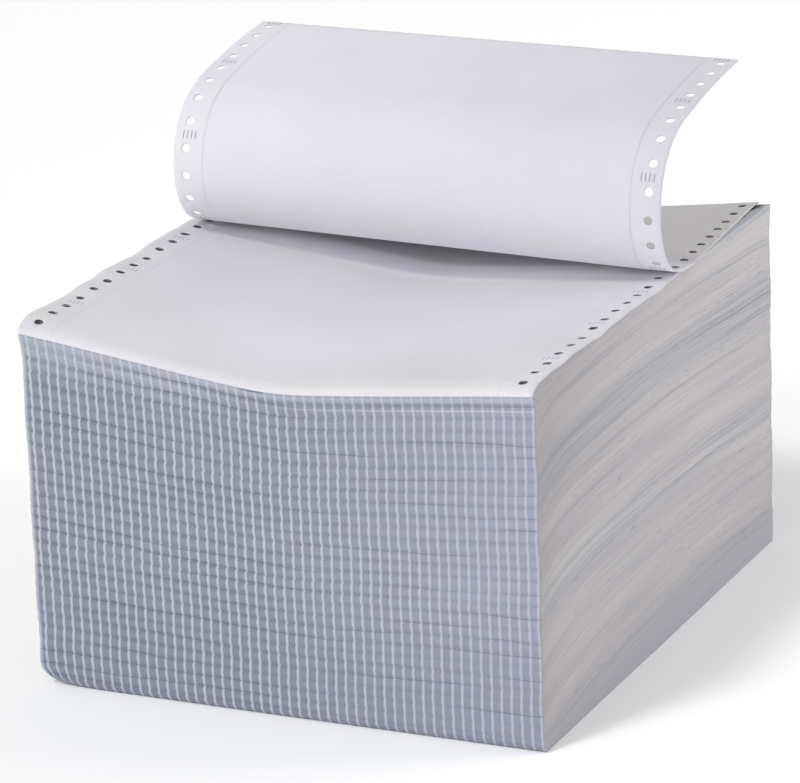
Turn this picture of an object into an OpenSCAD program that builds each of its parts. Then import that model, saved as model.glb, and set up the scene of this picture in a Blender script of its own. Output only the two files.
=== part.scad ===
// A stack of continuous form paper with its top page lifted and curled back.
// One folded web of paper, so one solid. Millimetres, X across the page,
// Y from the front fold to the back fold, Z up. It stands on Z = 0.

/* [Sheet] */
// Width of the stack over its side edges
stack_w = 240; // [200:1:300]
// How far the side edges of a page lie inside those of the stack
page_in = 1; // [0.5:0.1:3]
// Length of one page from fold to fold
page_len = 279.4; // [220:0.1:320]
// Thickness of the lifted page
page_t = 0.4; // [0.3:0.05:0.8]

/* [Stack] */
// Height of the stack at its left side
left_h = 167.3; // [120:0.1:220]
// Height of the stack at its right side
right_h = 163.7; // [120:0.1:220]
// How far the top sags between the side edges
sag = 13; // [4:0.5:20]
// Rows that the folds gather into on the front and the back
fold_rows = 29; // [12:1:36]
// Depth of the groove between two rows of folds
groove = 1.4; // [0.4:0.1:2]
// How far the sheets bend down to the front folds
fold_drop = 4.4; // [2:0.1:10]
// Length over which they bend down
fold_run = 9; // [8:0.5:30]
// How far the top sheets reach out over the ones below
top_reach = 1.4; // [0.5:0.1:4]
// How far the sheets are out of line along the sides
side_wobble = 0.8; // [0.1:0.1:1.5]

/* [Sprocket holes] */
// Diameter of a hole
hole_d = 4; // [3:0.1:5]
// Holes along each side of a page
hole_count = 22; // [12:1:26]
// Distance from a page's side edge to the middle of its row of holes
hole_in = 6; // [4:0.5:12]

/* [Lifted page] */
// Distance from the back fold to where the page leaves the stack
lift_at = 107; // [95:1:130]
// Radius of the curl
curl_r = 34.8; // [28:0.1:42]
// Turn of the curl
curl_turn = 143; // [120:1:150]
// Radius where the curl runs out
ease_r = 42.4; // [30:0.1:60]
// Turn where the curl runs out
ease_turn = 24; // [10:1:30]
// Radius of the nearly straight end
end_r = 430; // [200:10:2000]
// Sideways slide of the page's free end to the right
end_slide = 4.3; // [0:0.1:6]
// Sideways slide of the page's back fold to the left
back_slide = 3; // [0:0.1:5]
// How far the curl stands askew, left side back and right side forward
askew = 2.3; // [0:0.1:4]

/* [Hidden] */

half_w = stack_w / 2;
half_l = page_len / 2;
half_p = half_w - page_in;
hole_x = half_p - hole_in;
pitch = page_len / hole_count;
columns = 10;
sink = page_t * 0.625;
lift_y = half_l - lift_at;
end_s = page_len - lift_at;

// The page's sideways reach sets the outline's middle, which is put on the origin
reach_l = max(half_w, half_p + back_slide);
reach_r = max(half_w, half_p + end_slide);
mid_x = (reach_r - reach_l) / 2;
over = page_t * 0.75;
mid_y = (over - top_reach) / 2;

function step_up(v) = let(c = min(1, max(0, v))) c * c * (3 - 2 * c);

// Shape of the sag across the stack, 0 at the sides and 1 in the middle
function vee(x) =
  let(u = x / half_w, k = 0.12)
  1 - (sqrt(u * u + k * k) - k) / (sqrt(1 + k * k) - k);

function side_h(x) = (left_h + right_h) / 2 - (left_h - right_h) / 2 * x / half_w;

// Height of a point of the stack. t is its share of the height, drop the bend of the folds
function stack_z(x, t, drop) = t * (side_h(x) - drop) - sag * vee(x) * pow(t, 0.7);

// The end columns follow the sheets, which are a little out of line
function side_x(t) =
  half_w - side_wobble * (1 - cos(1440 * t)) * (3 + sin(3240 * t)) / 8;
function column_x(i, t) =
  (i == 0) ? -side_x(t) : (i == columns) ? side_x(t) : -half_w + stack_w * i / columns;

// Section of the stack, up the front, over the top and down the back, as [y, t, drop]
function front_out(t) =
  top_reach * (step_up((t - 0.93) / 0.07) - 0.88 * pow(max(0, 1 - t / 0.03), 2));
function row_depth(j) = (j % 2 == 0) ? groove : groove * 0.6;
function up_front() = [
  for (j = [0 : fold_rows - 1], p = [0, 0.22, 0.78])
    let(t = (j + p) / fold_rows)
    [-half_l - front_out(t) + ((p == 0) ? row_depth(j) : 0), t, fold_drop],
  [-half_l - front_out(1), 1, fold_drop]
];
function over_top() = [
  for (a = [15 : 15 : 90])
    [-half_l - top_reach + fold_run * (1 - cos(a)), 1, fold_drop * (1 - sin(a))]
];
function down_back() = [
  [half_l, 1, 0],
  for (j = [fold_rows - 1 : -1 : 0], p = [0.78, 0.22, 0])
    let(t = (j + p) / fold_rows)
    [half_l - ((p == 0) ? row_depth(j + 1) : 0) - groove * pow(max(0, 1 - t / 0.03), 2), t, 0]
];

section = concat(up_front(), over_top(), down_back());
ring = len(section);
rise = 3 * fold_rows;

module pack() {
  points = [
    for (i = [0 : columns], p = section)
      let(x = column_x(i, p[1]))
      [x, p[0], stack_z(x, p[1], p[2])]
  ];
  skin = [
    for (i = [0 : columns - 1], k = [0 : ring - 1])
      let(a = i * ring + k, b = i * ring + (k + 1) % ring)
      each [[a, b, b + ring], [a, b + ring, a + ring]]
  ];
  sides = [
    for (o = [0, columns * ring], k = [0 : rise - 1])
      let(f = o + k, r = o + ring - 1 - k)
      each (o == 0)
        ? [[f, r, r - 1], [f, r - 1, f + 1]]
        : [[f, r - 1, r], [f, f + 1, r - 1]]
  ];
  tops = [
    [for (k = [ring - 1 - rise : -1 : rise]) k],
    [for (k = [rise : ring - 1 - rise]) columns * ring + k]
  ];
  polyhedron(points = points, faces = concat(skin, sides, tops), convexity = 10);
}

// The page as three arcs. s runs along it from where it leaves the stack
len_a = curl_r * curl_turn * PI / 180;
len_b = ease_r * ease_turn * PI / 180;
function turn_at(s) =
  (s <= 0) ? 0
  : (s <= len_a) ? s / curl_r * 180 / PI
  : (s <= len_a + len_b) ? curl_turn + (s - len_a) / ease_r * 180 / PI
  : curl_turn + ease_turn + (s - len_a - len_b) / end_r * 180 / PI;
function arc_move(r, a, b) = [-r * (sin(b) - sin(a)), r * (cos(a) - cos(b))];
function curl_at(s) =
  (s <= 0) ? [-s, 0]
  : (s <= len_a) ? arc_move(curl_r, 0, turn_at(s))
  : (s <= len_a + len_b) ? arc_move(curl_r, 0, curl_turn) + arc_move(ease_r, curl_turn, turn_at(s))
  : arc_move(curl_r, 0, curl_turn) + arc_move(ease_r, curl_turn, curl_turn + ease_turn)
    + arc_move(end_r, curl_turn + ease_turn, turn_at(s));

// Slide, skew and height of the page at a place along it. The curl levels out over one run,
// which is the longer the more the two sides of the stack differ in height
run = curl_r * 1.72;
level_run = curl_r * 1.52 + 2 * abs(left_h - right_h);
function slide_at(s) =
  -back_slide + (end_slide + back_slide) * step_up((s + lift_at) / (lift_at + run));
function skew_at(x, s) = -askew * x / half_w * step_up((s + run / 3) / run);
function base_at(x, s) = right_h + (side_h(x) - right_h) * (1 - step_up(s / level_run));
function sunk_at(x, s) = sag * vee(min(half_w, max(-half_w, x))) * max(0, -s) / lift_at;

// A point of the page, out is the distance above its lower face
function page_x(i, s) =
  (i == 0) ? -half_p + slide_at(s)
  : (i == columns) ? half_p + slide_at(s)
  : -half_w + stack_w * i / columns;
function page_point(x, s, out) =
  let(c = curl_at(s), a = turn_at(s))
  [x,
   lift_y + c[0] + skew_at(x, s) + out * sin(a),
   base_at(x, s) - sunk_at(x, s) - sink + c[1] + out * cos(a)];

function page_rows() = [
  -lift_at - over,
  0,
  for (k = [1 : 30]) len_a * k / 30,
  for (k = [1 : 5]) len_a + len_b * k / 5,
  for (k = [1 : 4]) len_a + len_b + (end_s - len_a - len_b) * k / 4
];

module page() {
  rows = page_rows();
  n = len(rows);
  m = columns + 1;
  points = [
    for (out = [0, page_t], s = rows, i = [0 : columns])
      page_point(page_x(i, s), s, out)
  ];
  function at(layer, r, i) = layer * n * m + r * m + i;
  faces = [
    for (r = [0 : n - 2], i = [0 : columns - 1])
      each [
        [at(0, r, i), at(0, r, i + 1), at(0, r + 1, i + 1)],
        [at(0, r, i), at(0, r + 1, i + 1), at(0, r + 1, i)],
        [at(1, r, i), at(1, r + 1, i + 1), at(1, r, i + 1)],
        [at(1, r, i), at(1, r + 1, i), at(1, r + 1, i + 1)]
      ],
    for (r = [0 : n - 2])
      each [
        [at(0, r, 0), at(0, r + 1, 0), at(1, r + 1, 0)],
        [at(0, r, 0), at(1, r + 1, 0), at(1, r, 0)],
        [at(0, r, columns), at(1, r + 1, columns), at(0, r + 1, columns)],
        [at(0, r, columns), at(1, r, columns), at(1, r + 1, columns)]
      ],
    for (i = [0 : columns - 1])
      each [
        [at(0, 0, i), at(1, 0, i + 1), at(0, 0, i + 1)],
        [at(0, 0, i), at(1, 0, i), at(1, 0, i + 1)],
        [at(0, n - 1, i), at(0, n - 1, i + 1), at(1, n - 1, i + 1)],
        [at(0, n - 1, i), at(1, n - 1, i + 1), at(1, n - 1, i)]
      ]
  ];
  polyhedron(points = points, faces = faces, convexity = 10);
}

// The holes of all pages stand over one another and make straight wells
module wells() {
  for (side = [-1, 1], k = [0 : hole_count - 1]) {
    x = side * hole_x;
    y = -half_l - 0.3 * hole_d + (k + 0.5) * pitch;
    translate([x, y, -hole_d])
      cylinder(h = side_h(x) + 2 * hole_d, d = hole_d, $fn = 24);
  }
}

// The holes of the lifted page go square through the sheet
module page_holes() {
  for (side = [-1, 1], k = [0 : hole_count - 1]) {
    s = end_s - (k + 0.5) * pitch;
    if (s > pitch * 0.6) {
      p = page_point(side * hole_x + slide_at(s), s, page_t / 2);
      translate(p)
        rotate([-turn_at(s), 0, 0])
          cylinder(h = 10 * page_t, d = hole_d, center = true, $fn = 24);
    }
  }
}

module form_stack() {
  color([0.87, 0.87, 0.9])
    translate([-mid_x, -mid_y, 0])
      difference() {
        union() {
          pack();
          page();
        }
        wells();
        page_holes();
      }
}

form_stack();
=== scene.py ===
import math

import bpy
import numpy as np
from mathutils import Matrix, Vector


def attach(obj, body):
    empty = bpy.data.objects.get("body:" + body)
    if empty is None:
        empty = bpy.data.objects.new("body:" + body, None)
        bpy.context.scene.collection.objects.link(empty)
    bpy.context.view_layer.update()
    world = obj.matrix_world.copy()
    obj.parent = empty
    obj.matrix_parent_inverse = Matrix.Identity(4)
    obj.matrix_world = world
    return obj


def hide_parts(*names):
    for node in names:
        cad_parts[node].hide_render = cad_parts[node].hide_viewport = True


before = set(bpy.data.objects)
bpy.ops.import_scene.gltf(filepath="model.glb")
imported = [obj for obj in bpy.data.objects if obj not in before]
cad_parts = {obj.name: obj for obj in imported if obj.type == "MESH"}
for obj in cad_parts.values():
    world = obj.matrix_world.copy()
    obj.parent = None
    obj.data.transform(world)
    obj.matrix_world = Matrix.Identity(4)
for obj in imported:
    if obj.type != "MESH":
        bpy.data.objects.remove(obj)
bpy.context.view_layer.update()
scene = bpy.context.scene

# Sizes in millimetres, as in the part's source
HALF_W = 120.0
HALF_P = 119.0
PAGE_LEN = 279.4
HALF_L = PAGE_LEN / 2
PAGE_T = 0.4
LEFT_H = 167.3
RIGHT_H = 163.7
SAG = 13.0
SAG_BLUNT = 0.12
SAG_POWER = 0.7
ROWS = 29
FOLD_DROP = 4.4
FOLD_RUN = 9.0
TOP_REACH = 1.4
REACH_SHARE = 0.07
HOLE_R = 2.0
HOLES = 22
PITCH = PAGE_LEN / HOLES
HOLE_X = 113.0
WELLS_FORWARD = 1.2
LIFT_AT = 107.0
CURL_R = 34.8
CURL_TURN = math.radians(143)
EASE_R = 42.4
EASE_TURN = math.radians(24)
END_R = 430.0
END_SLIDE = 4.3
BACK_SLIDE = 3.0
ASKEW = 2.3
LEVEL_RUN = 60.0
OVER_BACK = 0.3
LEN_A = CURL_R * CURL_TURN
LEN_B = EASE_R * EASE_TURN
LIFT_Y = HALF_L - LIFT_AT
END_S = PAGE_LEN - LIFT_AT
MID_X = (max(HALF_W, HALF_P + END_SLIDE) - max(HALF_W, HALF_P + BACK_SLIDE)) / 2
MID_Y = (OVER_BACK - TOP_REACH) / 2

# Small forms that only the scene has, in millimetres
WOBBLE = 0.55
FRONT_FOOT_IN = 3.0
BACK_FOOT_IN = 2.0
FOOT_SHARE = 0.035
RELIEF_MOST = 1.9
FRONT_SEED = 1.0
BACK_SEED = 4.0
RIPPLE_HIGH = 0.85
RIPPLE_LESS = 0.60
RIPPLE_POWER = 8
CORNER_IN = 9.0
CORNER_BACK = 3.0
CORNER_H = 11.0
CORNER_W = 28.0
CORNER_L = 70.0
PAGE_ABOVE = 0.12
BACK_TURN = 1.4
BACK_RISE = 1.2
RISE_FROM = 58.0
MARK_ABOVE = 0.14
WELL_DEPTH = 120.0

# Thickness of the page on top and of the lifted page as shown, in metres
TOP_SHEET = 0.0003
LIFTED_SHEET = 0.0004


def metres(points):
    """Points of the source's own frame, in millimetres, to the row frame, in metres."""
    p = np.asarray(points, float).reshape(-1, 3)
    return (p - np.array([MID_X, MID_Y, 0.0])) * 0.001


def step_up(v):
    """A smooth step from 0 at 0 to 1 at 1."""
    c = np.clip(v, 0.0, 1.0)
    return c * c * (3 - 2 * c)


def chance(n, seed):
    """A repeatable number from 0 to 1 for each n."""
    v = np.sin(np.asarray(n, float) * 127.1 + seed * 311.7) * 43758.5453
    return v - np.floor(v)


def drift(v, seed):
    """A slow repeatable wave from about -1 to 1."""
    v = np.asarray(v, float)
    return (
        np.sin(v + seed * 1.7) * 0.5
        + np.sin(v * 1.73 + seed * 3.1 + 1.3) * 0.3
        + np.sin(v * 2.91 + seed * 5.3 + 2.1) * 0.2
    )


# The stack's own surfaces. t is a place up the stack from 0 to 1, r the same in rows of folds

def side_h(x):
    return (LEFT_H + RIGHT_H) / 2 - (LEFT_H - RIGHT_H) / 2 * x / HALF_W


def vee(x):
    """Shape of the sag across the stack, 0 at the sides and 1 in the middle."""
    u = np.clip(x / HALF_W, -1, 1)
    k = SAG_BLUNT
    return 1 - (np.sqrt(u * u + k * k) - k) / (math.sqrt(1 + k * k) - k)


def fold_bend(y):
    """How far the sheets have bent down at y, from 0 to 1 at the front fold."""
    u = np.clip(1 - (y + HALF_L + TOP_REACH) / FOLD_RUN, 0, 1)
    return 1 - np.sqrt(np.maximum(0, 1 - u * u))


def ripple(x, y):
    """The slight waviness of the top sheets' side edges, less towards the back."""
    high = RIPPLE_HIGH - RIPPLE_LESS * step_up((y - 25) / 35)
    return high * step_up((np.abs(x) - 98) / 22) * drift(y * 0.10, 2.0 + np.sign(x))


def top_z(x, y):
    return side_h(x) - SAG * vee(x) - FOLD_DROP * fold_bend(y) + ripple(x, y)


def stack_z(x, t, drop):
    return t * (side_h(x) - drop) - SAG * vee(x) * np.power(np.maximum(t, 0), SAG_POWER)


def wavy_z(x, y, t, drop):
    """Height of a point on the stack's upright faces, with the top sheets' waviness."""
    return stack_z(x, t, drop) + ripple(x, y) * np.power(t, RIPPLE_POWER)


def side_x(t):
    return HALF_W - WOBBLE * (1 - np.cos(8 * np.pi * t)) * (3 + np.sin(18 * np.pi * t)) / 8


def foot(t):
    """1 at the floor, falling to 0 a little above it."""
    return np.power(np.maximum(0, 1 - t / FOOT_SHARE), 2)


def relief(x, r, seed):
    """Depth of the folds' relief, in millimetres, none at the floor and at the top."""
    near = np.round(r)
    off = r - near
    wide = 0.15 + 0.10 * chance(near, seed + 1)
    uneven = 0.7 + 0.3 * drift(x * 0.03 + near * 1.9, seed)
    deep = 0.22 + 0.38 * chance(near, seed + 3) * uneven
    slow = 0.18 * drift(r * 0.55 + x * 0.008, seed + 6)
    depth = deep * np.exp(-np.square(off / wide)) + 0.25 + slow
    keep = step_up(r / ROWS / 0.02) * step_up((ROWS - r) / 0.8)
    return np.clip(depth, 0, RELIEF_MOST) * keep


def front_y(x, r):
    t = r / ROWS
    out = TOP_REACH * step_up((t - (1 - REACH_SHARE)) / REACH_SHARE) - FRONT_FOOT_IN * foot(t)
    return -HALF_L - out + relief(x, r, FRONT_SEED)


def back_y(x, r):
    t = r / ROWS
    return HALF_L - BACK_FOOT_IN * foot(t) - relief(x, r, BACK_SEED)


# The lifted page. s runs along it from where it leaves the stack

def turn_at(s):
    s = np.asarray(s, float)
    a = np.clip(s, 0, LEN_A) / CURL_R
    b = np.clip(s - LEN_A, 0, LEN_B) / EASE_R
    c = np.maximum(s - LEN_A - LEN_B, 0) / END_R
    return a + b + c


def arc_move(radius, a, b):
    """The way covered along an arc that turns from a to b."""
    return np.stack([-radius * (np.sin(b) - np.sin(a)), radius * (np.cos(a) - np.cos(b))], -1)


def curl_at(s):
    """Place of the page in its own section, back and up from where it leaves the stack."""
    s = np.asarray(s, float)
    full = CURL_TURN + EASE_TURN
    a = np.clip(s, 0, LEN_A) / CURL_R
    b = CURL_TURN + np.clip(s - LEN_A, 0, LEN_B) / EASE_R
    c = full + np.maximum(s - LEN_A - LEN_B, 0) / END_R
    zero = np.zeros_like(a)
    at = arc_move(CURL_R, zero, a)
    at = at + np.where((s > LEN_A)[..., None], arc_move(EASE_R, np.full_like(b, CURL_TURN), b), 0)
    at = at + np.where((s > LEN_A + LEN_B)[..., None], arc_move(END_R, np.full_like(c, full), c), 0)
    flat = np.stack([np.maximum(-s, 0), zero], -1)
    return at + flat


def slide_at(s):
    """Sideways slide of the page, with its back turned a little further to the left."""
    turned = BACK_TURN * step_up((-s - 40) / 65)
    slid = (END_SLIDE + BACK_SLIDE) * step_up((s + LIFT_AT) / (LIFT_AT + LEVEL_RUN))
    return -BACK_SLIDE + slid - turned


def page_point(u, s, out=0.0):
    """A point of the lifted page. u runs across it, out is measured square to it."""
    u, s = np.broadcast_arrays(np.asarray(u, float), np.asarray(s, float))
    x = u + slide_at(s)
    c = curl_at(s)
    a = turn_at(s)
    skew = -ASKEW * x / HALF_W * step_up((s + LEVEL_RUN / 3) / LEVEL_RUN)
    base = RIGHT_H + (side_h(x) - RIGHT_H) * (1 - step_up(s / LEVEL_RUN))
    sunk = SAG * vee(x) * np.maximum(0, -s) / LIFT_AT
    raised = np.power(np.clip((x - RISE_FROM) / RISE_FROM, 0, 1), 1.5) * step_up((-s - 66) / 38)
    y = LIFT_Y + c[..., 0] + skew + out * np.sin(a)
    waves = ripple(x, y) * (1 - step_up(s / 40))
    z = base - sunk + c[..., 1] + PAGE_ABOVE + out * np.cos(a) + BACK_RISE * raised + waves
    return np.stack([x, y, z], -1)


def top_point(u, v, out=0.0):
    """A point of the page on top of the stack. v is its place from front to back."""
    u, v = np.broadcast_arrays(np.asarray(u, float), np.asarray(v, float))
    return np.stack([u, v, top_z(u, v) + out], -1)


# Mesh making

CELL_STEPS = 8
CELL_RINGS = (0, 0.12, 0.4, 0.7, 1)


def new_piece(name, verts, faces, materials, smooth=True, slots=None):
    mesh = bpy.data.meshes.new(name)
    mesh.from_pydata([tuple(p) for p in verts], [], [tuple(int(i) for i in f) for f in faces])
    for m in materials:
        mesh.materials.append(m)
    if slots is not None:
        mesh.polygons.foreach_set("material_index", np.asarray(slots, np.int32))
    mesh.polygons.foreach_set("use_smooth", np.full(len(mesh.polygons), smooth))
    mesh.update()
    obj = bpy.data.objects.new(name, mesh)
    scene.collection.objects.link(obj)
    return obj


def add_values(obj, name, values):
    """Gives each point of the piece a value that its material reads by name."""
    data = obj.data.attributes.new(name, "FLOAT", "POINT")
    data.data.foreach_set("value", np.asarray(values, np.float32))


def thicken(obj, thickness, offset):
    solid = obj.modifiers.new("thickness", "SOLIDIFY")
    solid.thickness = thickness
    solid.offset = offset
    return solid


def finish_piece(obj):
    """Applies the piece's modifiers to its mesh and joins it to the body."""
    if obj.modifiers:
        graph = bpy.context.evaluated_depsgraph_get()
        mesh = bpy.data.meshes.new_from_object(obj.evaluated_get(graph))
        obj.modifiers.clear()
        old = obj.data
        obj.data = mesh
        bpy.data.meshes.remove(old)
    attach(obj, "root")


def grid_faces(rows, cols, start=0, flip=False):
    r, c = np.meshgrid(np.arange(rows - 1), np.arange(cols - 1), indexing="ij")
    a = start + r * cols + c
    f = np.stack([a, a + 1, a + cols + 1, a + cols], -1).reshape(-1, 4)
    return f[:, ::-1] if flip else f


def merged(points, faces, tolerance=1e-4):
    """Joins points that lie on one another. Also gives the first point of each group."""
    p = np.asarray(points, float)
    key = np.round(p / tolerance).astype(np.int64)
    _, first, inverse = np.unique(key, axis=0, return_index=True, return_inverse=True)
    inverse = inverse.reshape(-1)
    return p[first], [[int(inverse[i]) for i in f] for f in faces], first


def cell_outline(lo, hi, v0, v1):
    """Points round the four sides of a cell, CELL_STEPS on each."""
    share = np.arange(CELL_STEPS) / CELL_STEPS
    level = np.ones(CELL_STEPS)
    sides = [
        (lo + (hi - lo) * share, v0 * level),
        (hi * level, v0 + (v1 - v0) * share),
        (hi - (hi - lo) * share, v1 * level),
        (lo * level, v1 - (v1 - v0) * share),
    ]
    return np.concatenate([np.stack(pair, 1) for pair in sides])


def punched_cell(lo, hi, v0, v1, cu, cv):
    """A cell with a round hole at (cu, cv), as points and faces."""
    outline = cell_outline(lo, hi, v0, v1)
    angle = np.arctan2(outline[:, 1] - cv, outline[:, 0] - cu)
    circle = np.stack([cu + HOLE_R * np.cos(angle), cv + HOLE_R * np.sin(angle)], 1)
    points = np.concatenate([circle + (outline - circle) * w for w in CELL_RINGS])
    m = len(outline)
    faces = []
    for ring in range(len(CELL_RINGS) - 1):
        for i in range(m):
            j = (i + 1) % m
            faces.append([ring * m + i, (ring + 1) * m + i, (ring + 1) * m + j, ring * m + j])
    return [tuple(q) for q in points], faces


def punched_sheet(half, rows_at, hole_rows, inner_cols, extra_rows=()):
    """A flat sheet with round holes along both sides, as points in (u, v) and faces.
    rows_at are the borders of the cells that hold one hole on each side, and
    extra_rows are groups of rows without holes that continue the sheet."""
    points, faces = [], []

    def add(p, f):
        base = len(points)
        points.extend(p)
        faces.extend([[base + i for i in q] for q in f])

    def add_rows(us, vs):
        uu, vv = np.meshgrid(us, vs)
        add(list(zip(uu.ravel(), vv.ravel())), grid_faces(len(vs), len(us)).tolist())

    cell_w = 2 * (half - HOLE_X)
    cells = list(zip(rows_at[:-1], rows_at[1:]))
    for side in (-1, 1):
        lo = -half if side < 0 else half - cell_w
        for k, (v0, v1) in enumerate(cells):
            add(*punched_cell(lo, lo + cell_w, v0, v1, side * HOLE_X, hole_rows[k]))
    steps = [np.linspace(v0, v1, CELL_STEPS + 1)[:-1] for v0, v1 in cells]
    us = np.linspace(-half + cell_w, half - cell_w, inner_cols + 1)
    add_rows(us, np.concatenate(steps + [[rows_at[-1]]]))
    left_cols = np.linspace(-half, -half + cell_w, CELL_STEPS + 1)[:-1]
    right_cols = np.linspace(half - cell_w, half, CELL_STEPS + 1)[1:]
    for group in extra_rows:
        add_rows(np.concatenate([left_cols, us, right_cols]), np.array(group))
    p, f, _ = merged(np.array([(a, b, 0.0) for a, b in points]), faces)
    return p[:, :2], f


# Materials

def srgb(r, g, b):
    def lin(v):
        v = v / 255.0
        return v / 12.92 if v <= 0.04045 else ((v + 0.055) / 1.055) ** 2.4
    return (lin(r), lin(g), lin(b), 1.0)


def darker(color, share):
    return tuple(c * share for c in color[:3]) + (1.0,)


class Nodes:
    """Short ways to add shader nodes to one material."""

    def __init__(self, name, roughness):
        self.mat = bpy.data.materials.new(name)
        self.mat.use_nodes = True
        self.tree = self.mat.node_tree
        self.shader = self.tree.nodes["Principled BSDF"]
        self.shader.inputs["Roughness"].default_value = roughness
        self.shader.inputs["Specular IOR Level"].default_value = 0.25

    def node(self, kind, **values):
        n = self.tree.nodes.new(kind)
        for k, v in values.items():
            setattr(n, k, v)
        return n

    def put(self, socket, value):
        if isinstance(value, bpy.types.NodeSocket):
            self.tree.links.new(value, socket)
        else:
            socket.default_value = value

    def value(self, name):
        return self.node("ShaderNodeAttribute", attribute_name=name).outputs["Fac"]

    def place(self):
        return self.node("ShaderNodeTexCoord").outputs["Object"]

    def math(self, operation, a, b=None, clamp=False):
        n = self.node("ShaderNodeMath", operation=operation, use_clamp=clamp)
        self.put(n.inputs[0], a)
        if b is not None:
            self.put(n.inputs[1], b)
        return n.outputs[0]

    def times(self, a, b, clamp=False):
        return self.math("MULTIPLY", a, b, clamp)

    def distance(self, a, b):
        return self.math("ABSOLUTE", self.math("SUBTRACT", a, b))

    def span(self, v, a, b, c=0.0, d=1.0, smooth=True):
        """Takes v from the range a to b over to the range c to d."""
        n = self.node("ShaderNodeMapRange", interpolation_type="SMOOTHSTEP" if smooth else "LINEAR")
        for name, x in (("Value", v), ("From Min", a), ("From Max", b), ("To Min", c), ("To Max", d)):
            self.put(n.inputs[name], x)
        return n.outputs["Result"]

    def vector(self, x, y, z=0.0):
        n = self.node("ShaderNodeCombineXYZ")
        for socket, v in zip(n.inputs, (x, y, z)):
            self.put(socket, v)
        return n.outputs[0]

    def noise(self, vector, scale, detail, rough):
        n = self.node("ShaderNodeTexNoise")
        self.put(n.inputs["Vector"], vector)
        self.put(n.inputs["Scale"], scale)
        self.put(n.inputs["Detail"], detail)
        self.put(n.inputs["Roughness"], rough)
        return n.outputs["Fac"]

    def streaks(self, x, y, long, tall, scale=1.0, detail=2.0, rough=0.5, z=0.0):
        """Noise drawn out by factors along x and y."""
        vector = self.vector(self.times(x, long), self.times(y, tall), z)
        return self.noise(vector, scale, detail, rough)

    def mix(self, fac, a, b, blend="MIX"):
        n = self.node("ShaderNodeMix", data_type="RGBA", blend_type=blend)
        n.clamp_factor = True
        self.put(n.inputs[0], fac)
        self.put(n.inputs[6], a)
        self.put(n.inputs[7], b)
        return n.outputs[2]

    def shaded(self, color, amount):
        return self.mix(1.0, color, self.vector(amount, amount, amount), "MULTIPLY")

    def bump(self, height, strength, distance):
        n = self.node("ShaderNodeBump")
        self.put(n.inputs["Strength"], strength)
        self.put(n.inputs["Distance"], distance)
        self.put(n.inputs["Height"], height)
        return n.outputs["Normal"]

    def done(self, color, normal=None):
        self.put(self.shader.inputs["Base Color"], color)
        if normal is not None:
            self.put(self.shader.inputs["Normal"], normal)
        return self.mat


# Paper seen on its face

# Painted shadow, for the gap under the lifted page's raised back corner and at the back fold
PAINTED_GAP_SHADOW = srgb(96, 94, 92)


def let_light_through(m):
    """A single sheet lets some of the light through."""
    m.shader.inputs["Subsurface Weight"].default_value = 0.8
    m.shader.inputs["Subsurface Radius"].default_value = (1.0, 1.0, 1.0)
    m.shader.inputs["Subsurface Scale"].default_value = 0.001


def page_material(name, tint, shade_tint, deep, thin=False):
    m = Nodes(name, 0.88)
    if thin:
        let_light_through(m)
    place = m.place()
    cloud = m.noise(place, 14.0, 3.0, 0.55)
    fibre = m.noise(place, 900.0, 4.0, 0.6)
    color = m.mix(m.span(cloud, 0.3, 0.7), darker(tint, 0.955), tint)
    # A tint for places in shade: painted shade on the top page's edge strips, painted light and warmth
    # on the lifted page's flat rear part
    color = m.mix(m.value("lying"), color, shade_tint)
    # Painted light: lighter paper under the curl, where the cavity lies in shade
    color = m.mix(m.value("deep"), color, deep)
    # Painted shadow in the raised corner's gap and at the back fold
    color = m.mix(m.value("dark"), color, PAINTED_GAP_SHADOW)
    # Painted shade: darkens the colour by up to an eighth
    color = m.shaded(color, m.span(m.value("painted_shade"), 0.0, 1.0, 1.0, 0.875, False))
    color = m.shaded(color, m.span(fibre, 0.3, 0.7, 0.975, 1.0))
    return m.done(color, m.bump(fibre, 0.12, 0.0002))


# The folds, seen on the front and the back

TIE_STEP = 4.53
FIRST_TIE = -116.2
TIES_AHEAD = 40
NIP_X = -9.0
FOLD_LEFT = srgb(128, 134, 148)
FOLD_RIGHT = srgb(144, 147, 163)
FOLD_LEFT_WARM = srgb(128, 131, 143)
FOLD_RIGHT_WARM = srgb(145, 144, 158)
FOLD_LOW = srgb(116, 121, 136)
FOLD_PALE_AND_SHEEN = srgb(168, 174, 188)
FOLD_SHADE_LEFT = srgb(108, 114, 129)
FOLD_SHADE_RIGHT = srgb(130, 134, 149)
FOLD_TIE_LEFT = srgb(174, 179, 188)
FOLD_TIE_RIGHT = srgb(166, 169, 182)
FOLD_TIE_DIM = srgb(154, 160, 177)
FOLD_GAP_SHADE = srgb(87, 92, 107)
FOLD_SHEET = srgb(182, 181, 192)


def tie_lines(m, across, row, rim):
    """Uncut ties of the perforation, pale upright lines between the dark cuts."""
    ahead = TIES_AHEAD * TIE_STEP + TIE_STEP / 2 - FIRST_TIE
    phase = m.math("FRACT", m.math("DIVIDE", m.math("ADD", across, ahead), TIE_STEP))
    away = m.times(m.distance(phase, 0.5), TIE_STEP)
    worn = m.streaks(across, row, 0.22, 1.3, rough=0.6)
    tie = m.span(away, m.span(worn, 0.3, 0.7, 0.22, 0.42, False), 0.86, 1.0, 0.0)
    return m.math("MAXIMUM", tie, rim)


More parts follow.
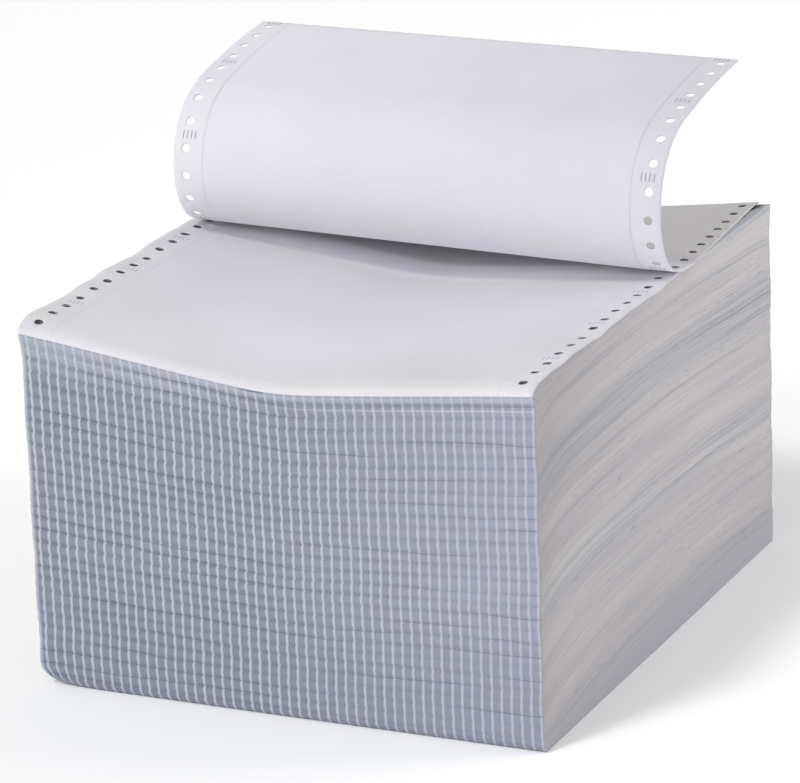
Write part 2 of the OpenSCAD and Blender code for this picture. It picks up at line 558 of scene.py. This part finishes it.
def row_shadows(m, across, row):
    """Soft dark bands where the rows of folds meet, and thin dark lines where a gap opens."""
    bent = m.streaks(across, row, 0.010, 0.35)
    at = m.math("ADD", row, m.span(bent, 0.2, 0.8, -0.20, 0.20, False))
    near = m.math("FLOOR", m.math("ADD", at, 0.5))
    force = m.streaks(across, near, 0.016, 3.7, rough=0.6)
    bold = m.span(across, -110.0, 120.0, 1.12, 0.72, False)
    bold = m.times(bold, m.span(row, ROWS - 4.0, ROWS, 1.0, 0.6))
    meet = m.span(m.distance(at, near), 0.05, 0.36, 1.0, 0.0)
    soft = m.times(meet, m.span(force, 0.3, 0.62, 0.35, 1.0, False))
    soft = m.times(soft, bold, clamp=True)
    gap_at = m.math("ADD", near, m.span(force, 0.3, 0.7, -0.16, 0.16, False))
    thin = m.span(m.distance(at, gap_at), 0.010, 0.075, 1.0, 0.0)
    gate = m.streaks(across, near, 0.011, 9.1, detail=1.0, z=4.0)
    thin = m.times(thin, m.span(gate, 0.45, 0.59, 0.0, 1.0))
    return soft, thin


def top_bundle(m, color, across, row):
    """The sheets near the top, loose enough to be seen one by one, with painted shade under them and
    at a small nip. Only the front has them: the back's rows are numbered past it."""
    front = m.span(row, ROWS + 0.5, ROWS + 1.0, 1.0, 0.0)
    right = m.times(m.span(across, -20.0, 70.0, 0.25, 1.0), front)
    # Painted shade under the loose sheets
    under = m.span(m.distance(row, ROWS - 0.82), 0.05, 0.32, 1.0, 0.0)
    color = m.mix(m.times(m.times(under, right), 0.25), color, FOLD_GAP_SHADE)
    layer = m.distance(m.math("FRACT", m.times(row, 5.2)), 0.5)
    loose = m.times(m.span(row, ROWS - 1.9, ROWS - 1.1), right)
    layer = m.times(m.span(layer, 0.08, 0.22, 1.0, 0.0), loose)
    color = m.mix(m.times(layer, 0.18), color, FOLD_SHEET)
    sheet = m.span(m.distance(row, ROWS - 1.30), 0.03, 0.09, 1.0, 0.0)
    color = m.mix(m.times(m.times(sheet, right), 0.6), color, FOLD_SHEET)
    # Painted shade at a small nip of the top edge
    nip = m.span(m.distance(across, NIP_X), 3.0, 8.0, 1.0, 0.0)
    nip = m.times(nip, m.span(row, ROWS - 0.30, ROWS - 0.12))
    return m.mix(m.times(m.times(nip, front), 0.6), color, FOLD_GAP_SHADE)


def fold_material():
    m = Nodes("folded_edges", 0.82)
    across = m.value("across")
    row = m.value("row")
    tie = tie_lines(m, across, row, m.value("rim"))
    soft, thin = row_shadows(m, across, row)
    lines = m.streaks(across, row, 0.012, 5.5, 2.6, 3.0, 0.7)
    patch = m.streaks(across, row, 0.05, 0.5)
    side = m.span(across, -15.0, 110.0, 0.0, 1.0, False)
    low = m.span(row, 3.0, 14.0, 1.0, 0.0)
    cell = m.mix(side, FOLD_LEFT, FOLD_RIGHT)
    cell = m.mix(m.span(patch, 0.35, 0.7), cell, m.mix(side, FOLD_LEFT_WARM, FOLD_RIGHT_WARM))
    cell = m.mix(m.times(low, 0.5), cell, FOLD_LOW)
    # Paler rows near the top left, and a painted highlight along the top row
    cell = m.mix(m.value("pale"), cell, FOLD_PALE_AND_SHEEN)
    # Painted shadow in the bands where the rows of folds meet
    cell = m.mix(m.times(soft, 0.9), cell, m.mix(side, FOLD_SHADE_LEFT, FOLD_SHADE_RIGHT))
    cell = m.shaded(cell, m.span(lines, 0.3, 0.7, 0.94, 1.04, False))
    white = m.mix(side, FOLD_TIE_LEFT, FOLD_TIE_RIGHT)
    # Ties darker under the painted row shadow, and towards the bottom
    white = m.mix(m.times(soft, 0.45), white, FOLD_TIE_DIM)
    white = m.mix(m.times(low, 0.25), white, FOLD_TIE_DIM)
    color = m.mix(m.times(tie, 0.92), cell, white)
    # Painted shade in the thin lines where a gap opens
    color = m.mix(m.times(thin, 0.42), color, FOLD_GAP_SHADE)
    color = top_bundle(m, color, across, row)
    height = m.math("ADD", m.times(tie, 0.5), m.times(lines, 0.5))
    height = m.math("SUBTRACT", height, m.times(thin, 0.8))
    return m.done(color, m.bump(height, 0.35, 0.0004))


# The cut edges of the sheets, seen on the sides

CUT_GREY = srgb(170, 168, 172)
CUT_CREAM = srgb(184, 181, 181)
CUT_PINK = srgb(182, 173, 176)
CUT_LIGHT = srgb(194, 191, 191)
CUT_BLUE = srgb(149, 153, 162)
CUT_LINE = srgb(145, 143, 149)
CUT_SIDE_SHADE = srgb(138, 135, 137)
CUT_RULE = srgb(126, 129, 139)
CUT_FOOT_LIGHT = srgb(170, 171, 180)
CUT_DASH = srgb(112, 113, 122)
CUT_STRIP_SHADE = srgb(158, 162, 169)


def cut_material():
    """Streaks that run along the sheets, as thin as they are."""
    m = Nodes("cut_edges", 0.86)
    along = m.value("across")
    sheet = m.value("sheet")
    blue = m.value("band")

    def streak(long, tall, scale, detail=3.0, z=0.0):
        return m.streaks(along, sheet, long, tall, scale, detail, 0.62, z)

    wide = streak(0.003, 0.055, 1.6)
    mid = streak(0.006, 0.42, 1.3, 3.0, 3.0)
    thin = streak(0.008, 1.05, 1.15, 3.0, 7.0)
    fine = streak(0.02, 2.4, 1.2, 2.0, 11.0)
    pink = streak(0.010, 0.95, 1.1, 2.0, 17.0)
    dash = streak(0.075, 2.6, 1.0, 1.0, 23.0)
    rows = streak(0.004, 0.30, 1.0, 1.0, 29.0)
    rule = streak(0.0045, 1.05, 1.0, 2.0, 41.0)
    color = m.mix(m.span(wide, 0.35, 0.65), CUT_GREY, CUT_CREAM)
    color = m.mix(m.span(pink, 0.48, 0.72, 0.0, 0.8), color, CUT_PINK)
    cool = m.times(blue, m.span(mid, 0.30, 0.66, 0.45, 1.15), clamp=True)
    color = m.mix(m.times(cool, 0.85), color, CUT_BLUE)
    color = m.mix(m.span(mid, 0.56, 0.74, 0.0, 0.40), color, CUT_BLUE)
    color = m.mix(m.span(thin, 0.56, 0.72, 0.0, 0.45), color, CUT_LINE)
    color = m.mix(m.span(thin, 0.28, 0.44, 0.35, 0.0), color, CUT_LIGHT)
    keen = m.times(m.span(rule, 0.56, 0.63), m.span(blue, 0.05, 0.55, 0.14, 0.68, False))
    keen = m.times(keen, m.span(sheet, 18.0, 105.0, 0.22, 1.0))
    color = m.mix(keen, color, CUT_RULE)
    color = m.mix(m.span(rule, 0.36, 0.44, 0.30, 0.0), color, CUT_LIGHT)
    color = m.shaded(color, m.span(fine, 0.3, 0.7, 0.94, 1.03, False))
    dash = m.times(m.span(dash, 0.64, 0.72), m.span(rows, 0.45, 0.60, 0.10, 0.85))
    color = m.mix(dash, color, CUT_DASH)
    # Painted light near the foot, lifting the floor's shade off the blue-grey bottom band
    color = m.mix(m.span(sheet, 9.0, 20.0, 0.55, 0.0), color, CUT_FOOT_LIGHT)
    # Painted shade near the front fold and high up
    color = m.mix(m.times(m.value("dim"), 0.42), color, CUT_SIDE_SHADE)
    # Painted shade on the strip along the top of the right side towards the back
    color = m.mix(m.value("pale"), color, CUT_STRIP_SHADE)
    return m.done(color, m.bump(fine, 0.30, 0.0003))


def plain_material(name, color):
    """One colour with a little unevenness, for surfaces too small to show more."""
    m = Nodes(name, 0.9)
    return m.done(m.mix(m.noise(m.place(), 300.0, 2.0, 0.5), darker(color, 0.9), color))


TOP_TINT = srgb(219, 218, 224)
# Painted shade: a darker, bluer tint for the strips by the top page's edges behind the lift
TOP_SHADE_TINT = srgb(202, 206, 214)
# Painted light: a lighter colour for the page on top in the shade under the curl
TOP_PAINTED_LIGHT = srgb(242, 241, 248)
# The lifted page is the same paper as the page on top; its darker tint is painted shade
LIFTED_TINT = srgb(210, 208, 215)
# Painted light: a lighter, warmer tint for the lifted page's flat rear part, which lies in the curl's
# shade
LIFTED_SHADE_TINT = srgb(221, 218, 216)
# Painted light: a lighter colour for the foot of the curl, in its shade
LIFTED_PAINTED_LIGHT = srgb(238, 236, 244)
paper_top = page_material("paper_face", TOP_TINT, TOP_SHADE_TINT, TOP_PAINTED_LIGHT)
paper_lifted = page_material("paper_lifted", LIFTED_TINT, LIFTED_SHADE_TINT, LIFTED_PAINTED_LIGHT, True)
folds = fold_material()
cuts = cut_material()
well_mat = plain_material("hole_walls", srgb(120, 120, 128))
slit_mat = plain_material("slits", srgb(138, 138, 158))
perf_mat = plain_material("perforation_cuts", srgb(190, 190, 201))
edge_mat = plain_material("paper_edge", srgb(178, 176, 180))

# The body of the stack: folds on the front and the back, cut edges on the sides

TONES = ("across", "row", "rim", "pale", "sheet", "band", "dim")
FOLD_SLOT = 0
CUT_SLOT = 1
FLAT_SLOT = 2
BACK_ROWS = 40
BACK_SHIFT = 1.9
LEFT_SHIFT = 400
BAND_SCALE = 165.0
FOOT_BAND = 0.11

# Blue bands on the cut sides, as (place up the stack, width, strength)
BLUE_BANDS = (
    (0.80, 0.030, 0.75), (0.745, 0.016, 0.65), (0.685, 0.008, 0.35),
    (0.93, 0.012, 0.35), (0.60, 0.006, 0.4), (0.475, 0.022, 0.45),
    (0.425, 0.014, 0.7), (0.32, 0.008, 0.35), (0.27, 0.006, 0.25),
)

per_row = 9
r_list = np.linspace(0, ROWS, ROWS * per_row + 1)
near_edge = np.array([0, 0.4, 0.9, 1.5, 2.4]) / HALF_W
inner = 1 - 4.0 / HALF_W
c_list = np.concatenate([near_edge - 1, np.linspace(-inner, inner, 97), 1 - near_edge[::-1]])
q_front = np.linspace(0, 0.14, 22)
q_middle = np.linspace(0.14, 0.93, 40)
q_back = np.linspace(0.93, 1, 8)
q_list = np.concatenate([q_front, q_middle[1:], q_back[1:]])

parts, tones, quads, slots = [], [], [], []


def rounded_corner(points):
    """Draws the stack in at the foot of its left front corner."""
    x, y, z = points[..., 0], points[..., 1], points[..., 2]
    low = np.clip(1 - z / CORNER_H, 0, 1)
    left = np.clip((-x - (HALF_W - CORNER_W)) / CORNER_W, 0, 1)
    front = np.clip(1 - (y + HALF_L) / CORNER_L, 0, 1)
    worn = np.square(low) * np.square(left) * np.square(front)
    return points + np.stack([CORNER_IN * worn, CORNER_BACK * worn, 0 * worn], -1)


def add_grid(x, y, z, slot_index, flip=False, **tone):
    """Adds one surface of the stack, with the values that its material reads."""
    points = rounded_corner(np.stack([x, y, z], -1))
    rows, cols = points.shape[:2]
    faces = grid_faces(rows, cols, sum(len(p) for p in parts), flip)
    parts.append(points.reshape(-1, 3))
    tones.append({k: np.broadcast_to(tone.get(k, 0.0), (rows, cols)).reshape(-1) for k in TONES})
    quads.extend(faces.tolist())
    slots.extend([slot_index] * len(faces))


def slip_of(x, r):
    """How far the sheets' perforation is out of line at a place on the folds."""
    part = r - np.floor(r)
    slip = 0.42 * (part - 0.5) * (0.2 + chance(np.floor(r), 3.0)) * (1 - 0.55 * step_up(x / 90))
    return slip + 0.30 * drift(r * 0.8, 3.0)


def fold_tones(x, r, t):
    """How much a place on the folds belongs to the pale rims at the sides, to a painted highlight
    along the top row, and to the paler rows towards the top left.
    """
    rim = np.clip(2.0 - (side_x(t) - np.abs(x)) / 0.8, 0, 1)
    # Painted highlight along the top row, where the folds turn over
    top_sheen = np.clip((r - (ROWS - 0.75)) / 0.4, 0, 1) * 0.7
    left = 1 - step_up((x + 60) / 70)
    top_left = 0.55 * np.clip((r - (ROWS - 3.5)) / 2.5, 0, 1) * left
    return rim, np.maximum(top_sheen, top_left)


def add_folds():
    r, c = np.meshgrid(r_list, c_list, indexing="ij")
    t = r / ROWS
    x = c * side_x(t)
    across = x + slip_of(x, r)
    rim, pale = fold_tones(x, r, t)
    y = front_y(x, r)
    z = wavy_z(x, y, t, FOLD_DROP)
    add_grid(x, y, z, FOLD_SLOT, False, across=across, row=r, rim=rim, pale=pale, sheet=z)
    y = back_y(x, r)
    z = wavy_z(x, y, t, 0.0)
    add_grid(x, y, z, FOLD_SLOT, True, across=across + BACK_SHIFT, row=r + BACK_ROWS, rim=rim, sheet=z)


def sheet_at(y, z, t, from_front, side):
    """Which sheet is seen at a place on the side, as a height. The sheets dip near the front
    and fall off again towards the back."""
    body = step_up(z / 10) * step_up((1 - t) / 0.12)
    low = 1 - step_up(z / 90)
    dip = (9 + 7 * low) * np.exp(-(y + HALF_L) / (25 + 38 * low)) + 3.0 * np.exp(-from_front / 7)
    fall = (8 - 4 * low) * np.square(np.clip((y + 40) / 180, 0, 1.1))
    wave = 0.7 * drift(y * 0.028 + t * 2.0, 5.0 + side) * body
    return z + (dip + fall) * body + wave


def band_at(share, side):
    """How blue the sheets are at a place up the stack."""
    band = np.zeros_like(share)
    for centre, width, amount in BLUE_BANDS:
        band += amount * np.exp(-np.square((share - centre - 0.01 * (side < 0)) / width))
    band += 0.60 * (1 - step_up((share - FOOT_BAND) / 0.05))
    return np.clip(band, 0, 1)


def dim_at(share, from_front, from_top):
    """Painted shade: how much darker the side is near the front fold and high up."""
    by_fold = np.exp(-from_front / 20) * 0.8
    by_top = np.exp(-from_top / 5) * 0.55 * np.exp(-from_front / 110)
    high = 0.65 * (1 - step_up(from_front / 170)) * step_up((share - 0.45) / 0.3)
    return np.clip(by_fold + by_top + high, 0, 1)


def add_side(side):
    r, q = np.meshgrid(r_list, q_list, indexing="ij")
    t = r / ROWS
    x = side * side_x(t)
    y0 = front_y(x, r)
    y = y0 + (back_y(x, r) - y0) * q
    from_front = y - y0
    bend = FOLD_DROP * fold_bend(-HALF_L - TOP_REACH + from_front)
    z = wavy_z(x, y, t, bend)
    from_top = side_h(x) - bend - z
    sheet = sheet_at(y, z, t, from_front, side)
    share = sheet / BAND_SCALE
    # Painted shade on a strip along the top of the right side towards the back, under the page's edge
    strip = 0.6 + 1.2 * step_up((y - 50) / 80)
    loose = step_up((strip - from_top) / 0.5) * step_up((y - 45) / 25)
    swell = 0.22 * drift(y * 0.04 + r * 0.3, 9.0 + side) * np.sin(np.pi * q)
    add_grid(
        x + side * np.minimum(swell, 0), y, z, CUT_SLOT, side < 0,
        across=y + LEFT_SHIFT * (side < 0), row=r, pale=loose * (side > 0), sheet=sheet,
        band=band_at(share, side), dim=dim_at(share, from_front, from_top),
    )


def add_bottom():
    """The bottom page, flat on the floor."""
    c, q = np.meshgrid(c_list, np.linspace(0, 1, 9), indexing="ij")
    x = c * side_x(0.0)
    floor_row = x * 0
    y0 = front_y(x, floor_row)
    y = y0 + (back_y(x, floor_row) - y0) * q
    add_grid(x, y, x * 0, FLAT_SLOT, False, across=x)


def build_stack():
    add_folds()
    for side in (-1, 1):
        add_side(side)
    add_bottom()
    points, faces, first = merged(np.concatenate(parts), quads)
    obj = new_piece("folded_stack", metres(points), faces, [folds, cuts, paper_top], slots=slots)
    for key in TONES:
        add_values(obj, key, np.concatenate([t[key] for t in tones])[first])
    return obj


# The page on top of the stack, with its holes

well_y = [-HALF_L - WELLS_FORWARD + (k + 0.5) * PITCH for k in range(HOLES)]


def top_shades(u, v):
    """Painted light and shade on the page on top: a painted shade tint on the strips by both edges
    behind the lift line, painted shadow in the raised corner's gap and at the back fold, painted light
    under the curl, and painted shade that is least left of the middle, most towards the right, and
    strong along the front bend.
    """
    # Painted shadow in the gap under the raised corner, and along the back fold at the right
    by_edge = step_up((u - 112.5) / 1.5) * (1 - step_up((u - 115.6) / 2.5))
    gap_shadow = by_edge * step_up((v - 130) / 5)
    fold_shadow = 0.8 * step_up((v - 138.4) / 0.8) * step_up((u - 114) / 1.0)
    # Painted light under the curl, strongest towards the middle where the sag is deepest
    painted_light_under_curl = step_up((v - 11) / 15) * (1 - step_up((v - 38) / 6))
    # Painted shade across the page, least left of the middle and most towards the right, and painted
    # shade along the front bend
    across_shade = 0.30 - 0.30 * np.exp(-np.square((u + 40) / 50)) + 0.28 * step_up(u / 80)
    bend_shade = 0.9 * step_up((-HALF_L + 8.5 - v) / 7)
    return {
        # Painted shade tint on the strips by both edges behind the lift line
        "lying": step_up((v - LIFT_Y - 4) / 6) * step_up((np.abs(u) - 114.0) / 2.0),
        "dark": np.maximum(gap_shadow, fold_shadow),
        "deep": painted_light_under_curl * step_up(vee(u) * 2.2),
        "painted_shade": np.maximum(across_shade, bend_shade),
    }


def build_top_page():
    first_border = well_y[0] - PITCH / 2 + 0.35
    borders = [first_border] + [y + PITCH / 2 for y in well_y]
    edge_y = -HALF_L - TOP_REACH - PAGE_ABOVE
    lip = edge_y + (first_border - edge_y) * np.array([0, 0.06, 0.2, 0.42, 0.7, 1.0])
    tail = np.linspace(borders[-1], HALF_L, 3)
    uv, faces = punched_sheet(HALF_W, borders, well_y, 44, [lip, tail])
    u, v = uv[:, 0], uv[:, 1]
    obj = new_piece("top_page", metres(top_point(u, v, PAGE_ABOVE)), faces, [paper_top])
    for name, values in top_shades(u, v).items():
        add_values(obj, name, values)
    thicken(obj, TOP_SHEET, -1)
    finish_piece(obj)
    return obj


# The lifted page

page_holes = [END_S - (k + 0.5) * PITCH for k in range(HOLES)][::-1]


def build_lifted_page():
    borders = [page_holes[0] - PITCH / 2] + [s + PITCH / 2 for s in page_holes]
    us, faces = punched_sheet(HALF_P, borders, page_holes, 30)
    u, s = us[:, 0], us[:, 1]
    obj = new_piece("lifted_page", metres(page_point(u, s)), faces, [paper_lifted, edge_mat])
    # Painted light and warmth on the flat rear part, in the curl's shade
    add_values(obj, "lying", 1 - step_up((s + 34) / 34))
    # Painted light at the foot of the curl
    add_values(obj, "deep", (1 - step_up((s - 4) / 24)) * step_up((s + 14) / 14))
    # Painted shade towards the right of the curl's upper part
    add_values(obj, "painted_shade", (u / HALF_P + 1) / 2 * step_up((s - 20) / 40))
    solid = thicken(obj, LIFTED_SHEET, 0)
    solid.material_offset_rim = 1
    finish_piece(obj)
    return obj


# Wells under the holes, and the rims of the next pages in them

RING = 20
WELL_BELOW = 0.1
FOOT_Y = LIFT_Y + 14
FOOT_S = -14


def ring_of(cx, cy, radius, z):
    turns = [2 * math.pi * i / RING for i in range(RING)]
    return [(cx + radius * math.cos(a), cy + radius * math.sin(a), z) for a in turns]


def ring_faces(lower, upper):
    """Faces between two rings that start at these points."""
    pairs = [(i, (i + 1) % RING) for i in range(RING)]
    return [[lower + i, lower + j, upper + j, upper + i] for i, j in pairs]


def hole_centres():
    """Middles of the holes that have a well under them, on both pages."""
    centres = []
    for side in (-1, 1):
        x = side * HOLE_X
        spots = [top_point(x, y) for y in well_y if y < FOOT_Y]
        spots += [page_point(x, s) for s in page_holes if s < FOOT_S]
        centres += [(p[0], p[1], float(p[2]) - WELL_BELOW) for p in spots]
    return centres


def build_wells(centres):
    verts, faces = [], []
    for cx, cy, cz in centres:
        base = len(verts)
        for z in (cz, cz - 2.0, cz - WELL_DEPTH):
            verts.extend(ring_of(cx, cy, HOLE_R + 0.03, z))
        for level in range(2):
            start = base + level * RING
            faces.extend(ring_faces(start, start + RING))
        faces.append([base + 2 * RING + i for i in range(RING)])
    obj = new_piece("hole_wells", metres(verts), faces, [well_mat])
    finish_piece(obj)


def kept_inside(x, y, most):
    """A point drawn in to the distance most from the middle, if it lies further out."""
    d = math.hypot(x, y)
    return (x / d * most, y / d * most) if d > most else (x, y)


def build_rims(centres):
    """The next pages, a little out of line, seen at the rim of each hole but the first ones."""
    verts, faces = [], []
    for k, (cx, cy, cz) in enumerate(centres):
        if cy < well_y[0] + 1:
            continue
        for layer in range(2):
            turn = 2 * math.pi * float(chance(k + 31 * layer, 2.0))
            far = (0.15 + 1.1 * float(chance(k + 57 * layer, 3.0)) ** 2) * (0.6 + 0.4 * layer)
            z = cz - 0.25 - 0.5 * layer
            base = len(verts)
            verts.extend(ring_of(cx, cy, HOLE_R + 0.02, z))
            shifted = ring_of(far * math.cos(turn), far * math.sin(turn), HOLE_R - 0.02, z)
            for px, py, _ in shifted:
                px, py = kept_inside(px, py, HOLE_R + 0.01)
                verts.append((cx + px, cy + py, z))
            faces.extend(ring_faces(base, base + RING))
    obj = new_piece("hole_rims", metres(verts), faces, [paper_top], smooth=False)
    finish_piece(obj)


# Short slits that lock the parts of the form together, and the margin's perforation

SLITS = 4
SLIT_EVERY = 4
SLIT_FIRST = HOLE_X - 4.2
SLIT_STEP = 2.0
SLIT_HALF_W = 0.16
PAGE_SLIT_HALF = 1.8
TOP_SLIT_HALF = 1.6
TOP_SLITS_AFTER = (2, 6, 10)
PERF_X = HALF_P - 14.6
PERF_HALF_W = 0.11
PERF_STEP = 1.5
PERF_CUT = 1.0


def on_top(u, v):
    return top_point(u, v, MARK_ABOVE)


def on_page(u, s):
    return page_point(u, s, -MARK_ABOVE - PAGE_T / 2)


def build_strips(name, items, material):
    """Thin marks on a page. Each item is (surface, middle, half width, start, end)."""
    verts, faces = [], []
    for surface, u, half, v0, v1 in items:
        base = len(verts)
        for v in np.linspace(v0, v1, 3):
            verts.extend([surface(u - half, v), surface(u + half, v)])
        for b in (base, base + 2):
            faces.append([b, b + 1, b + 3, b + 2])
    obj = new_piece(name, metres(np.array(verts)), faces, [material])
    finish_piece(obj)


def crimp_items():
    items = []
    for side in (-1, 1):
        columns = [side * (SLIT_FIRST + SLIT_STEP * j) for j in range(SLITS)]
        for k in range(0, HOLES, SLIT_EVERY):
            s = END_S - k * PITCH
            if s > 4:
                s = min(s, END_S - 2.0)
                ends = (s - PAGE_SLIT_HALF, s + PAGE_SLIT_HALF)
                items += [(on_page, u, SLIT_HALF_W, *ends) for u in columns]
        for k in TOP_SLITS_AFTER:
            y = well_y[k] + PITCH / 2
            ends = (y - TOP_SLIT_HALF, y + TOP_SLIT_HALF)
            items += [(on_top, u, SLIT_HALF_W, *ends) for u in columns]
    return items


def perforation_items():
    items = []
    for u in (-PERF_X, PERF_X):
        for s in np.arange(8, END_S - 0.5, PERF_STEP):
            items.append((on_page, u, PERF_HALF_W, s, s + PERF_CUT))
        for y in np.arange(-HALF_L - 1.5, LIFT_Y + 30, PERF_STEP):
            items.append((on_top, u, PERF_HALF_W, y, y + PERF_CUT))
    return items


# All pieces

stack = build_stack()
bpy.context.view_layer.update()
top = build_top_page()
page = build_lifted_page()
centres = hole_centres()
build_wells(centres)
build_rims(centres)
build_strips("crimp_slits", crimp_items(), slit_mat)
build_strips("margin_perforation", perforation_items(), perf_mat)
finish_piece(stack)
for piece in (stack, top, page):
    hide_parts("form_stack")

# Floor, light and camera

FLOOR_HALF = 6
LAMP_TARGET = (0, 0, 0.1)
SENSOR = 36.0
PHOTO_W = 800
FOCAL_PX = 4797.5
CAM_AT = (859.2, -1854.7, 776.2)
CAM_YAW = math.radians(25.005)
CAM_PITCH = math.radians(18.186)
CAM_ROLL = math.radians(-2.059)


def make_floor():
    mesh = bpy.data.meshes.new("floor")
    h = FLOOR_HALF
    mesh.from_pydata([(-h, -h, 0), (h, -h, 0), (h, h, 0), (-h, h, 0)], [], [(0, 1, 2, 3)])
    floor = bpy.data.objects.new("floor", mesh)
    scene.collection.objects.link(floor)
    m = Nodes("floor_white", 0.95)
    m.shader.inputs["Specular IOR Level"].default_value = 0.0
    mesh.materials.append(m.done((1.0, 1.0, 1.0, 1.0)))


def make_world():
    """White all round, seen at full strength and lighting the object at less."""
    world = bpy.data.worlds.new("studio")
    scene.world = world
    world.use_nodes = True
    tree = world.node_tree
    back = tree.nodes["Background"]
    back.inputs["Color"].default_value = (1, 1, 1, 1)
    back.inputs["Strength"].default_value = 0.58
    seen = tree.nodes.new("ShaderNodeBackground")
    seen.inputs["Color"].default_value = (1, 1, 1, 1)
    seen.inputs["Strength"].default_value = 1.0
    path = tree.nodes.new("ShaderNodeLightPath")
    choose = tree.nodes.new("ShaderNodeMixShader")
    either = tree.nodes.new("ShaderNodeMath")
    either.operation = "MAXIMUM"
    tree.links.new(path.outputs["Is Camera Ray"], either.inputs[0])
    tree.links.new(path.outputs["Is Glossy Ray"], either.inputs[1])
    tree.links.new(either.outputs[0], choose.inputs["Fac"])
    tree.links.new(back.outputs[0], choose.inputs[1])
    tree.links.new(seen.outputs[0], choose.inputs[2])
    tree.links.new(choose.outputs[0], tree.nodes["World Output"].inputs["Surface"])


def add_lamp(data, where, target, power):
    data.energy = power
    obj = bpy.data.objects.new(data.name, data)
    scene.collection.objects.link(obj)
    obj.location = where
    obj.rotation_euler = (Vector(target) - Vector(where)).to_track_quat("-Z", "Y").to_euler()


def sun(name, where, degrees, power):
    data = bpy.data.lights.new(name, "SUN")
    data.angle = math.radians(degrees)
    add_lamp(data, where, LAMP_TARGET, power)


def disk(name, where, target, size, power, color):
    data = bpy.data.lights.new(name, "AREA")
    data.shape = "DISK"
    data.size = size
    data.color = color
    add_lamp(data, where, target, power)


def make_camera():
    yaw, pitch, roll = CAM_YAW, CAM_PITCH, CAM_ROLL
    ahead = (-math.sin(yaw) * math.cos(pitch), math.cos(yaw) * math.cos(pitch), -math.sin(pitch))
    forward = Vector(ahead)
    level_right = Vector((math.cos(yaw), math.sin(yaw), 0))
    level_up = level_right.cross(forward)
    right = level_right * math.cos(roll) + level_up * math.sin(roll)
    up = level_up * math.cos(roll) - level_right * math.sin(roll)
    where = metres([CAM_AT])[0]
    data = bpy.data.cameras.new("camera")
    data.sensor_fit = "HORIZONTAL"
    data.sensor_width = SENSOR
    data.lens = SENSOR * FOCAL_PX / PHOTO_W
    data.clip_end = 50
    cam = bpy.data.objects.new("camera", data)
    scene.collection.objects.link(cam)
    cam.matrix_world = Matrix((
        (right.x, up.x, -forward.x, where[0]),
        (right.y, up.y, -forward.y, where[1]),
        (right.z, up.z, -forward.z, where[2]),
        (0, 0, 0, 1),
    ))
    scene.camera = cam


make_floor()
make_world()
sun("front", (-0.9, -1.6, 0.62), 40.0, 1.6)
sun("top", (-0.45, -1.0, 1.6), 9.0, 0.90)
disk("fill", (1.1, 0.45, 0.5), (0.1, 0.1, 0.08), 0.6, 5.0, (1.0, 0.985, 0.985))
make_camera()
scene.view_settings.view_transform = "Standard"
